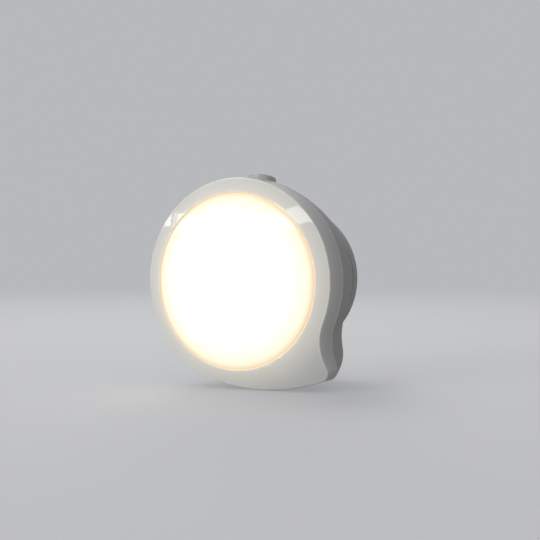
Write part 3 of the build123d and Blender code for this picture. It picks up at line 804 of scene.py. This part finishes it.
def makePaintedSeamShade():                       # painted shade: soft dark ring where two round pieces meet
    tree, given, made = newGroup("paintedSeamShade", (
        ("Seam Depth", "value", 0.004),
        ("Seam Radius", "value", 0.02),
        ("Seam Width", "value", 0.0006),
    ), (("Shade", "value"),))
    spot = axisCoordinates(tree, (-1300, -300))
    behind = mathStep(tree, (-500, 100), "ADD", spot["along"], given["Seam Depth"])
    beyond = mathStep(tree, (-500, -100), "SUBTRACT", spot["reach"], given["Seam Radius"])
    offset = addNode(tree, "ShaderNodeCombineXYZ", (-300, 0))
    tree.links.new(behind, offset.inputs["X"])
    tree.links.new(beyond, offset.inputs["Y"])
    away = vectorLength(tree, (-100, 0), offset.outputs["Vector"])
    share = mathStep(tree, (100, 0), "DIVIDE", away, given["Seam Width"])
    shade = mathStep(tree, (300, 0), "SUBTRACT", 1.0, share, clamp=True)
    tree.links.new(shade, made["Shade"])
    return tree


def makePaintedDepthShade():                      # painted shade that deepens from the front towards the plug
    tree, given, made = newGroup("paintedDepthShade", (
        ("Front Depth", "value", 0.034),
        ("Rear Depth", "value", 0.004),
        ("Front Level", "value", 1.0),
        ("Rear Level", "value", 0.7),
    ), (("Level", "value"),))
    spot = addNode(tree, "ShaderNodeTexCoord", (-900, -300)).outputs["Object"]
    apart = addNode(tree, "ShaderNodeSeparateXYZ", (-700, -300))
    tree.links.new(spot, apart.inputs["Vector"])
    depth = mathStep(tree, (-500, -300), "MULTIPLY", apart.outputs["Y"], -1.0)
    level = mapRange(tree, (-100, 0), depth, given["Rear Depth"], given["Front Depth"],
                     given["Rear Level"], given["Front Level"])
    tree.links.new(level, made["Level"])
    return tree


mouldedSkin = makeMouldedSkin()
paintedDepthShade = makePaintedDepthShade()
paintedSeamShade = makePaintedSeamShade()
handlingMarks = makeHandlingMarks()
edgeWearAndHighlight = makeEdgeWearAndHighlight()
print("shared effects ready")


def clearTree(owner):                      # empty node tree of a material or a world
    owner.use_nodes = True
    owner.node_tree.nodes.clear()
    return owner.node_tree


def startMaterial(name):
    material = bpy.data.materials.new(name)
    tree = clearTree(material)
    surface = addNode(tree, "ShaderNodeBsdfPrincipled", (600, 0))
    out = addNode(tree, "ShaderNodeOutputMaterial", (950, 0))
    tree.links.new(surface.outputs["BSDF"], out.inputs["Surface"])
    return material, tree, surface


def placeGroup(tree, group, place, **values):
    node = addNode(tree, "ShaderNodeGroup", place, node_tree=group)
    return setInputs(node, **values)


def placeSkin(tree, place, values):
    bright, dull = values["gloss"]
    return placeGroup(tree, mouldedSkin, place, PaleTint=values["pale"], DeepTint=values["deep"],
                      DriftScale=values["drift"], GrainScale=values["grain"],
                      BrightGloss=bright, DullGloss=dull)


def addBump(tree, surface, height, values):
    bump = addNode(tree, "ShaderNodeBump", (350, -400))
    setInputs(bump, Strength=values["bump"], Distance=values["relief"])
    tree.links.new(height, bump.inputs["Height"])
    tree.links.new(bump.outputs["Normal"], surface.inputs["Normal"])


def plainFinish(tree, surface, place, values):     # the moulded skin by itself
    skin = placeSkin(tree, place, values)
    tree.links.new(skin.outputs["Color"], surface.inputs["Base Color"])
    tree.links.new(skin.outputs["Roughness"], surface.inputs["Roughness"])
    addBump(tree, surface, skin.outputs["Height"], values)


def plasticFinish(name, values):           # moulded plastic with rubbed edges that carry a painted highlight, hairlines and dust
    material, tree, surface = startMaterial(name)
    skin = placeSkin(tree, (-700, 200), values)
    marks = placeGroup(tree, handlingMarks, (-700, -150), ScratchScale=values["scratch"])
    # edge rub: wear plus a painted highlight that lightens the marked edges
    rubAndHighlight = placeGroup(tree, edgeWearAndHighlight, (-700, -380))
    rubbedAndHighlit = mixColors(tree, (-350, 250), rubAndHighlight.outputs["Rub"], skin.outputs["Color"],
                       values["rubTint"], "SCREEN")
    settled = mathStep(tree, (-350, 0), "MULTIPLY", marks.outputs["Dust"], values["dust"])
    dusty = mixColors(tree, (-100, 250), settled, rubbedAndHighlit, values["dustTint"])
    scuffed = mathStep(tree, (-100, -100), "MULTIPLY_ADD", marks.outputs["Scratches"], values["scuff"],
                       skin.outputs["Roughness"])
    tree.links.new(dusty, surface.inputs["Base Color"])
    tree.links.new(scuffed, surface.inputs["Roughness"])
    addBump(tree, surface, skin.outputs["Height"], values)
    surface.inputs["IOR"].default_value = values["ior"]
    return material, tree, surface


def shadeByDepth(tree, surface, depths, levels):   # painted shade: darkens the base colour towards the plug
    shade = placeGroup(tree, paintedDepthShade, (-350, 700), FrontDepth=depths[0] * mm, RearDepth=depths[1] * mm,
                       FrontLevel=levels[0], RearLevel=levels[1])
    base = surface.inputs["Base Color"]
    shaded = mixColors(tree, (50, 600), 1.0, base.links[0].from_socket, shade.outputs["Level"], "MULTIPLY")
    tree.links.new(shaded, base)


def wear(piece, material):                 # one finish over the whole piece
    piece.data.materials.clear()
    piece.data.materials.append(material)


# Front shell: gloss off-white
bezelFinish = {
    "pale": paint(213, 213, 210), "deep": paint(207, 207, 204), "drift": 45.0, "grain": 700.0,
    # rubTint lightens the marked edges: wear plus a painted highlight along the rim
    "gloss": (0.015, 0.03), "scratch": 240.0, "scuff": 0.02, "rubTint": paint(140, 140, 138),
    "dustTint": paint(200, 198, 190), "dust": 0.15, "bump": 0.004, "relief": 0.0002, "ior": 1.5,
}
# painted shade on the front shell's side wall, darker towards the parting line
bezelPaintedShade = {
    "front": 34.0,                         # mm, where the painted shade starts
    "levels": (1.0, 0.66),                 # share of the tint there and at the parting, as painted shade
}
bezelPaintedGlow = {                              # painted light: emission on the bezel standing in for the glow that spills over it from the window
    "reach": 8.0,
    "edge": (0.04, 0.1),                   # share of the reach in which the window's own edge is lit
    "facing": (-0.1, -0.5),                # normals from just unlit to fully lit
    "steps": (                             # share of the reach, colour of the spill
        (0.0, (150, 120, 76)), (0.03, (146, 118, 76)), (0.05, (120, 113, 97)), (0.17, (105, 99, 84)),
        (0.33, (90, 85, 72)), (0.62, (59, 55, 47)), (0.87, (24, 22, 19)), (1.0, (0, 0, 0)),
    ),
    "strength": 1.0,
}


def makeBezel():
    material, tree, surface = plasticFinish("glossBezel", bezelFinish)
    shadeByDepth(tree, surface, (bezelPaintedShade["front"], shell["partingDepth"]), bezelPaintedShade["levels"])
    # painted glow: the bezel emits near the window and on the window's own edge
    spot = axisCoordinates(tree, (-1300, -700))
    share = mapRange(tree, (-450, -700), spot["reach"], shell["windowRadius"] * mm,
                     (shell["windowRadius"] + bezelPaintedGlow["reach"]) * mm, 0.0, 1.0)
    spill = colorSteps(tree, (-200, -700), share, bezelPaintedGlow["steps"])
    facing = addNode(tree, "ShaderNodeSeparateXYZ", (-1100, -950))
    tree.links.new(spot["normal"], facing.inputs["Vector"])
    ahead = mapRange(tree, (-450, -950), facing.outputs["Y"], *bezelPaintedGlow["facing"], 0.0, 1.0)
    close = mapRange(tree, (-450, -1200), share, *bezelPaintedGlow["edge"], 1.0, 0.0)
    lit = mathStep(tree, (-200, -1000), "MAXIMUM", ahead, close)
    shown = mixColors(tree, (100, -700), lit, paint(0, 0, 0), spill)
    tree.links.new(shown, surface.inputs["Emission Color"])
    surface.inputs["Emission Strength"].default_value = bezelPaintedGlow["strength"]
    return material


# Rear housing and plug base: satin, a touch cooler
housingFinish = {
    "pale": paint(213, 213, 213), "deep": paint(206, 206, 207), "drift": 45.0, "grain": 2600.0,
    # rubTint here is mostly a painted highlight on the parting lip, besides wear
    "gloss": (0.66, 0.76), "scratch": 240.0, "scuff": 0.03, "rubTint": paint(195, 195, 194),
    "dustTint": paint(200, 198, 190), "dust": 0.2, "bump": 0.06, "relief": 0.0001, "ior": 1.5,
}
# button: the housing's plastic with a darker tint, which is painted shade
buttonFinish = dict(housingFinish, pale=paint(168, 169, 162), deep=paint(162, 163, 156), gloss=(0.2, 0.28),
                    rubTint=paint(120, 120, 118))
# plug base: the housing's plastic with a darker tint, which is painted shade
baseFinish = dict(housingFinish, pale=paint(172, 172, 171), deep=paint(166, 166, 165), gloss=(0.5, 0.6))
sleeveFinish = dict(housingFinish, pale=paint(226, 226, 224), deep=paint(217, 217, 214), gloss=(0.3, 0.42))

housingPaintedShade = (0.66, 0.51)                # painted shade: share of the tint at the parting and at the plug base
housingSeam = {                            # painted shade in the joint with the plug base
    "width": 1.0,                          # mm
    "tint": paint(60, 60, 60),
}


# painted shade in the joint of the housing and the plug base, on both pieces
def shadeSeam(tree, surface):
    shade = placeGroup(tree, paintedSeamShade, (-350, 500), SeamDepth=rear["endDepth"] * mm,
                       SeamRadius=baseHigh.x * mm, SeamWidth=housingSeam["width"] * mm)
    base = surface.inputs["Base Color"]
    seamed = mixColors(tree, (250, 350), shade.outputs["Shade"], base.links[0].from_socket,
                       housingSeam["tint"])
    tree.links.new(seamed, base)


def makeHousing():
    material, tree, surface = plasticFinish("satinHousing", housingFinish)
    shadeByDepth(tree, surface, (shell["partingDepth"], rear["endDepth"]), housingPaintedShade)
    shadeSeam(tree, surface)
    return material


def makeBase():
    material, tree, surface = plasticFinish("satinBase", baseFinish)
    shadeSeam(tree, surface)
    return material


wear(frontShell, makeBezel())
wear(rearHousing, makeHousing())
wear(nodes["plug_base"], makeBase())
wear(buttonCap, plasticFinish("satinButton", buttonFinish)[0])
sleeveMaterial = plasticFinish("sleevePlastic", sleeveFinish)[0]
for side in ("left", "right"):
    wear(nodes["pin_sleeve_" + side], sleeveMaterial)

# Opal diffuser: clear white in the middle, amber where the light leaves through its edge
opal = {
    "pale": paint(192, 186, 172), "deep": paint(187, 181, 167), "drift": 60.0, "grain": 900.0,
    "gloss": (0.05, 0.08), "bump": 0.02, "relief": 0.0002, "ior": 1.49,
    "glowSteps": (                         # share of the radius, colour of the glow
        (0.0, (255, 252, 245)), (0.7, (243, 238, 232)), (0.78, (228, 222, 216)),
        (0.86, (210, 212, 204)), (0.905, (209, 213, 196)), (0.945, (209, 215, 182)),
        (0.968, (209, 197, 168)), (0.988, (209, 181, 150)), (1.0, (204, 170, 136)),
    ),
    "strength": 1.0,
}


def makeOpal():
    material, tree, surface = startMaterial("opalDiffuser")
    plainFinish(tree, surface, (-500, 300), opal)
    reach = axisCoordinates(tree, (-1100, -300))["reach"]
    share = mapRange(tree, (-300, -300), reach, 0.0, lens["radius"] * mm, 0.0, 1.0)
    glow = colorSteps(tree, (0, -300), share, opal["glowSteps"])
    tree.links.new(glow, surface.inputs["Emission Color"])
    surface.inputs["Emission Strength"].default_value = opal["strength"]
    surface.inputs["IOR"].default_value = opal["ior"]
    return material


wear(diffuser, makeOpal())
print("outer finishes done")

# Inner pieces: each has its own tints and gloss
innerSurface = {"glossSpread": 0.15, "bump": 0.15, "relief": 0.0001}


def innerFinish(name, pale, deep, drift, grain, gloss, metal):
    material, tree, surface = startMaterial(name)
    plainFinish(tree, surface, (-400, 100), {
        "pale": paint(*pale), "deep": paint(*deep), "drift": drift, "grain": grain,
        "gloss": (gloss, gloss + innerSurface["glossSpread"]),
        "bump": innerSurface["bump"], "relief": innerSurface["relief"],
    })
    surface.inputs["Metallic"].default_value = metal
    return material


innerFinishes = {                          # pale tint, deep tint, drift, grain, gloss, metal
    "reflectorWhite": ((238, 238, 234), (230, 230, 225), 60.0, 2600.0, 0.3, 0.0),
    "boardWhite": ((232, 233, 230), (222, 223, 219), 90.0, 1800.0, 0.25, 0.0),
    "ledPhosphor": ((244, 220, 120), (236, 205, 90), 300.0, 4000.0, 0.4, 0.0),
    "screwSteel": ((196, 198, 202), (170, 172, 178), 400.0, 5000.0, 0.25, 1.0),
    "switchBlack": ((38, 38, 40), (26, 26, 28), 120.0, 2600.0, 0.4, 0.0),
    "tinnedLead": ((205, 206, 208), (178, 180, 184), 500.0, 5200.0, 0.3, 1.0),
    "plungerNylon": ((228, 226, 216), (216, 213, 202), 200.0, 2600.0, 0.35, 0.0),
    "springSteel": ((188, 190, 196), (150, 152, 158), 700.0, 5200.0, 0.22, 1.0),
    "pinBrass": ((222, 196, 132), (200, 170, 104), 260.0, 5200.0, 0.2, 1.0),
    "boardGreen": ((54, 104, 66), (40, 84, 52), 90.0, 1800.0, 0.25, 0.0),
    "filmYellow": ((214, 172, 62), (198, 154, 48), 90.0, 1800.0, 0.3, 0.0),
    "canSleeve": ((48, 52, 66), (36, 40, 52), 90.0, 1800.0, 0.3, 0.0),
    "chipBlack": ((46, 46, 48), (34, 34, 36), 200.0, 4200.0, 0.45, 0.0),
    "resistorBlue": ((104, 146, 176), (84, 126, 158), 200.0, 3000.0, 0.3, 0.0),
}
innerWear = {
    "reflector": "reflectorWhite", "led_board": "boardWhite", "led_chips": "ledPhosphor",
    "board_screws": "screwSteel", "plug_base_screws": "screwSteel", "switch_body": "switchBlack",
    "link_header": "switchBlack", "switch_terminals": "tinnedLead", "link_pins": "tinnedLead",
    "switch_plunger": "plungerNylon", "plug_pin_left": "pinBrass", "plug_pin_right": "pinBrass",
    "driver_board": "boardGreen", "film_capacitor": "filmYellow", "smoothing_capacitor": "canSleeve",
    "bridge_rectifier": "chipBlack", "driver_chip": "chipBlack", "fusible_resistor": "resistorBlue",
}
innerMaterials = {name: innerFinish(name, *values) for name, values in innerFinishes.items()}
for node, finish in innerWear.items():
    wear(nodes[node], innerMaterials[finish])
wear(returnSpring, innerMaterials["springSteel"])
print("inner finishes done")


# Floor, soft light and lamps
studio = {
    "backdrop": paint(184, 185, 188),
    "floorTint": paint(211, 211, 211),
    "floorBounce": paint(130, 130, 130),   # how pale the floor is for light that bounces off it
    "floorFade": (0.03, 0.60),             # metres from the light, floor to backdrop
    "floorShare": (0.6, 1.0),              # how much of the backdrop the floor takes on at both
    "floorSize": 24.0,
    "floorGap": 0.0002,
    "softLight": 0.495,                    # from all round
    "softLean": (0.06, -0.32, 0.0),        # brighter in front than behind
}


def backgroundRays(tree, place):           # camera, gloss and glass see the plain backdrop
    path = addNode(tree, "ShaderNodeLightPath", place)
    shown = path.outputs["Is Camera Ray"]
    for step, ray in enumerate(("Is Glossy Ray", "Is Transmission Ray"), 1):
        shown = mathStep(tree, (place[0] + 200 * step, place[1]), "MAXIMUM", shown, path.outputs[ray])
    return shown


def buildFloor():
    half = studio["floorSize"] / 2
    height = cadBox[0].z - studio["floorGap"]
    mesh = bpy.data.meshes.new("studioFloor")
    corners = [(-half, -half, height), (half, -half, height), (half, half, height), (-half, half, height)]
    mesh.from_pydata(corners, [], [(0, 1, 2, 3)])
    floor = bpy.data.objects.new("studioFloor", mesh)
    scene.collection.objects.link(floor)
    material = bpy.data.materials.new("paleFloor")
    tree = clearTree(material)
    plain = backgroundRays(tree, (-900, -500))
    tint = mixColors(tree, (-250, 250), plain, studio["floorBounce"], studio["floorTint"])
    lit = addNode(tree, "ShaderNodeBsdfDiffuse", (0, 200))
    tree.links.new(tint, lit.inputs["Color"])
    far = addNode(tree, "ShaderNodeEmission", (0, 0))
    far.inputs["Color"].default_value = studio["backdrop"]
    spot = addNode(tree, "ShaderNodeNewGeometry", (-900, -200))
    reach = vectorLength(tree, (-700, -200), spot.outputs["Position"])
    fade = mapRange(tree, (-500, -200), reach, *studio["floorFade"], *studio["floorShare"],
                    interpolation_type="SMOOTHSTEP")
    seen = mathStep(tree, (-250, -200), "MULTIPLY", fade, plain)
    mixShaders(tree, seen, lit.outputs["BSDF"], far.outputs["Emission"], "ShaderNodeOutputMaterial")
    wear(floor, material)


def addSoftLight():
    world = bpy.data.worlds.new("studioWorld")
    scene.world = world
    tree = clearTree(world)
    spot = addNode(tree, "ShaderNodeTexCoord", (-600, 300))
    lean = addNode(tree, "ShaderNodeVectorMath", (-400, 300), operation="DOT_PRODUCT")
    lean.inputs[1].default_value = studio["softLean"]
    tree.links.new(spot.outputs["Generated"], lean.inputs[0])
    level = mathStep(tree, (-200, 300), "ADD", lean.outputs["Value"], studio["softLight"], clamp=True)
    soft = addNode(tree, "ShaderNodeBackground", (0, 200))
    tree.links.new(level, soft.inputs["Strength"])
    backdrop = addNode(tree, "ShaderNodeBackground", (0, 0))
    setInputs(backdrop, Color=studio["backdrop"], Strength=1.0)
    plain = backgroundRays(tree, (-800, -100))
    mixShaders(tree, plain, soft.outputs["Background"], backdrop.outputs["Background"],
               "ShaderNodeOutputWorld")


# degrees round from the front, degrees up, metres away and across, level, seen in the gloss
softLamps = {
    "keyLamp": (-25.0, 12.0, 1.0, 0.45, 0.445, False),
    "backLamp": (236.0, 53.0, 1.0, 0.5, 0.52, True),
    "plugLamp": (214.0, 20.0, 1.0, 0.45, 0.45, False),
}
# degrees round, degrees up, degrees wide and high, degrees rolled, level
glossPanes = {
    "paneLeft": (-60.75, 14.05, 6.5, 4.2, 9.0, 6.4),
    "paneThin": (-55.95, 14.3, 0.6, 4.0, 5.0, 5.0),
    "paneMiddle": (-51.1, 14.4, 7.3, 4.2, 4.0, 6.0),
    "paneRight": (-6.2, 19.9, 30.0, 6.4, 21.0, 5.2),
}
paneAway = 6.0                             # metres, far enough for every point to mirror them alike


def lampWay(around, up):                   # direction of a lamp, seen from the night light
    turn = math.radians(around)
    lift = math.radians(up)
    return Vector((math.sin(turn) * math.cos(lift), -math.cos(turn) * math.cos(lift), math.sin(lift)))


def addLamp(name, way, away, size, roll, energy, lights, mirrored):
    data = bpy.data.lights.new(name, "AREA")
    data.shape = "RECTANGLE"
    data.size, data.size_y = size
    data.energy = energy
    lamp = bpy.data.objects.new(name, data)
    scene.collection.objects.link(lamp)
    lamp.location = way * away
    turned = way.to_track_quat("Z", "Y") @ Quaternion((0.0, 0.0, 1.0), math.radians(roll))
    lamp.rotation_euler = turned.to_euler()
    lamp.visible_camera = False
    lamp.visible_transmission = False
    lamp.visible_glossy = mirrored
    lamp.visible_diffuse = lights


def addSoftLamps():                        # level 1 lights a white surface as white
    for name, (around, up, away, across, level, mirrored) in softLamps.items():
        energy = level * math.pi ** 2 * away ** 2
        addLamp(name, lampWay(around, up), away, (across, across), 0.0, energy, True, mirrored)


def addGlossPanes():                       # seen in the gloss only, level 1 is as bright as white
    for name, (around, up, wide, high, roll, level) in glossPanes.items():
        size = [2 * paneAway * math.tan(math.radians(angle) / 2) for angle in (wide, high)]
        energy = level * math.pi * size[0] * size[1]
        addLamp(name, lampWay(around, up), paneAway, size, roll, energy, False, True)


buildFloor()
addSoftLight()
addSoftLamps()
addGlossPanes()
scene.view_settings.view_transform = "Standard"
print("studio lit with", len(softLamps) + len(glossPanes), "lamps")
